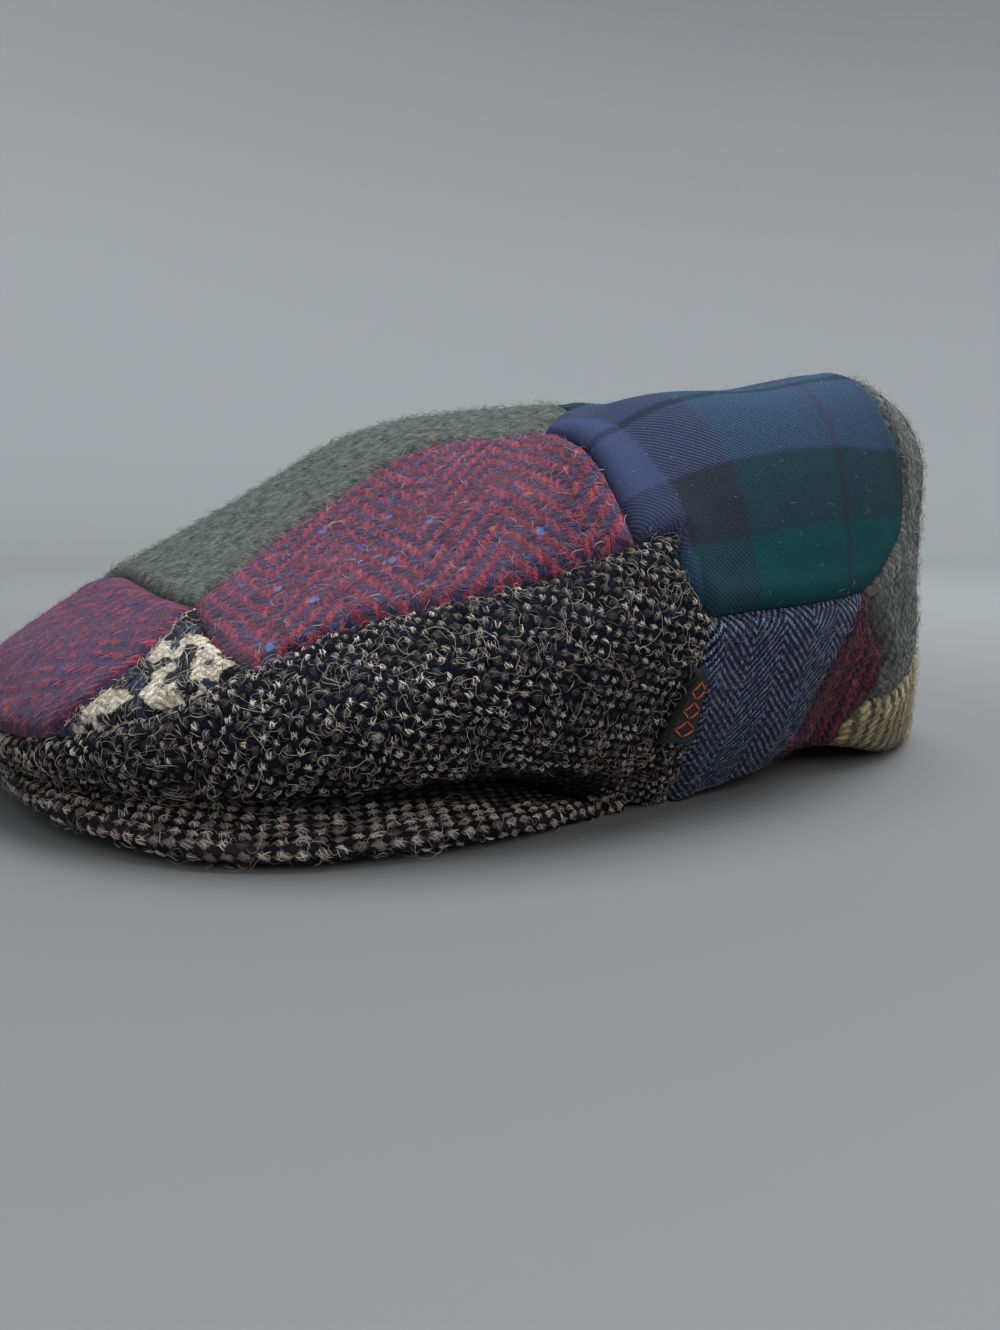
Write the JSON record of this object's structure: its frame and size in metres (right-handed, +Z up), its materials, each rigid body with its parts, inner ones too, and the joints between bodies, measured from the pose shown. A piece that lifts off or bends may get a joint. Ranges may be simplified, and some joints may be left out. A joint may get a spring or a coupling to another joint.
{
  "type": "flat cap",
  "caption": "Patchwork tweed flat cap: full pieced crown with its open head hollow, the front drawn down over a stiff covered peak, and a small woven tab in the side seam.",
  "frame": {"origin": "on the floor, at the middle of the cap's length and width", "axes": "-Y towards the peak, +X to the wearer's left, +Z up out of the crown"},
  "size_m": [0.2082, 0.2549, 0.0952],
  "materials": {
    "basket_tweed": "coarse black and cream basket weave wool with loose curly hairs",
    "maroon_tweed": "purple-maroon napped wool",
    "green_tweed": "heather green-grey napped wool",
    "tartan_worsted": "smooth fine twill in a navy and green check",
    "cream_tweed": "cream twill with dark blotches",
    "mustard_tweed": "mustard twill with dark flecks",
    "rose_herringbone": "crimson and slate herringbone wool with coloured neps",
    "grey_tweed": "mottled grey heather wool",
    "blue_herringbone": "navy herringbone wool",
    "wine_tweed": "dark wine wool with orange and blue neps",
    "woven_tab": "close-woven dark green ribbon"
  },
  "bodies": {
    "root": {"peak": "basket_tweed", "front_panel": "maroon_tweed", "top_front": "green_tweed", "top_rear": "tartan_worsted", "left_gusset": "cream_tweed", "right_gusset": "mustard_tweed", "left_top": "rose_herringbone", "right_top": "grey_tweed", "left_side_front": "basket_tweed", "right_side_front": "blue_herringbone", "left_side_rear": "blue_herringbone", "right_side_rear": "basket_tweed", "left_back_gusset": "wine_tweed", "right_back_gusset": "green_tweed", "left_back": "grey_tweed", "right_back": "rose_herringbone", "left_back_lower": "mustard_tweed", "right_back_lower": "maroon_tweed", "side_tab": "woven_tab"}
  },
  "joints": []
}
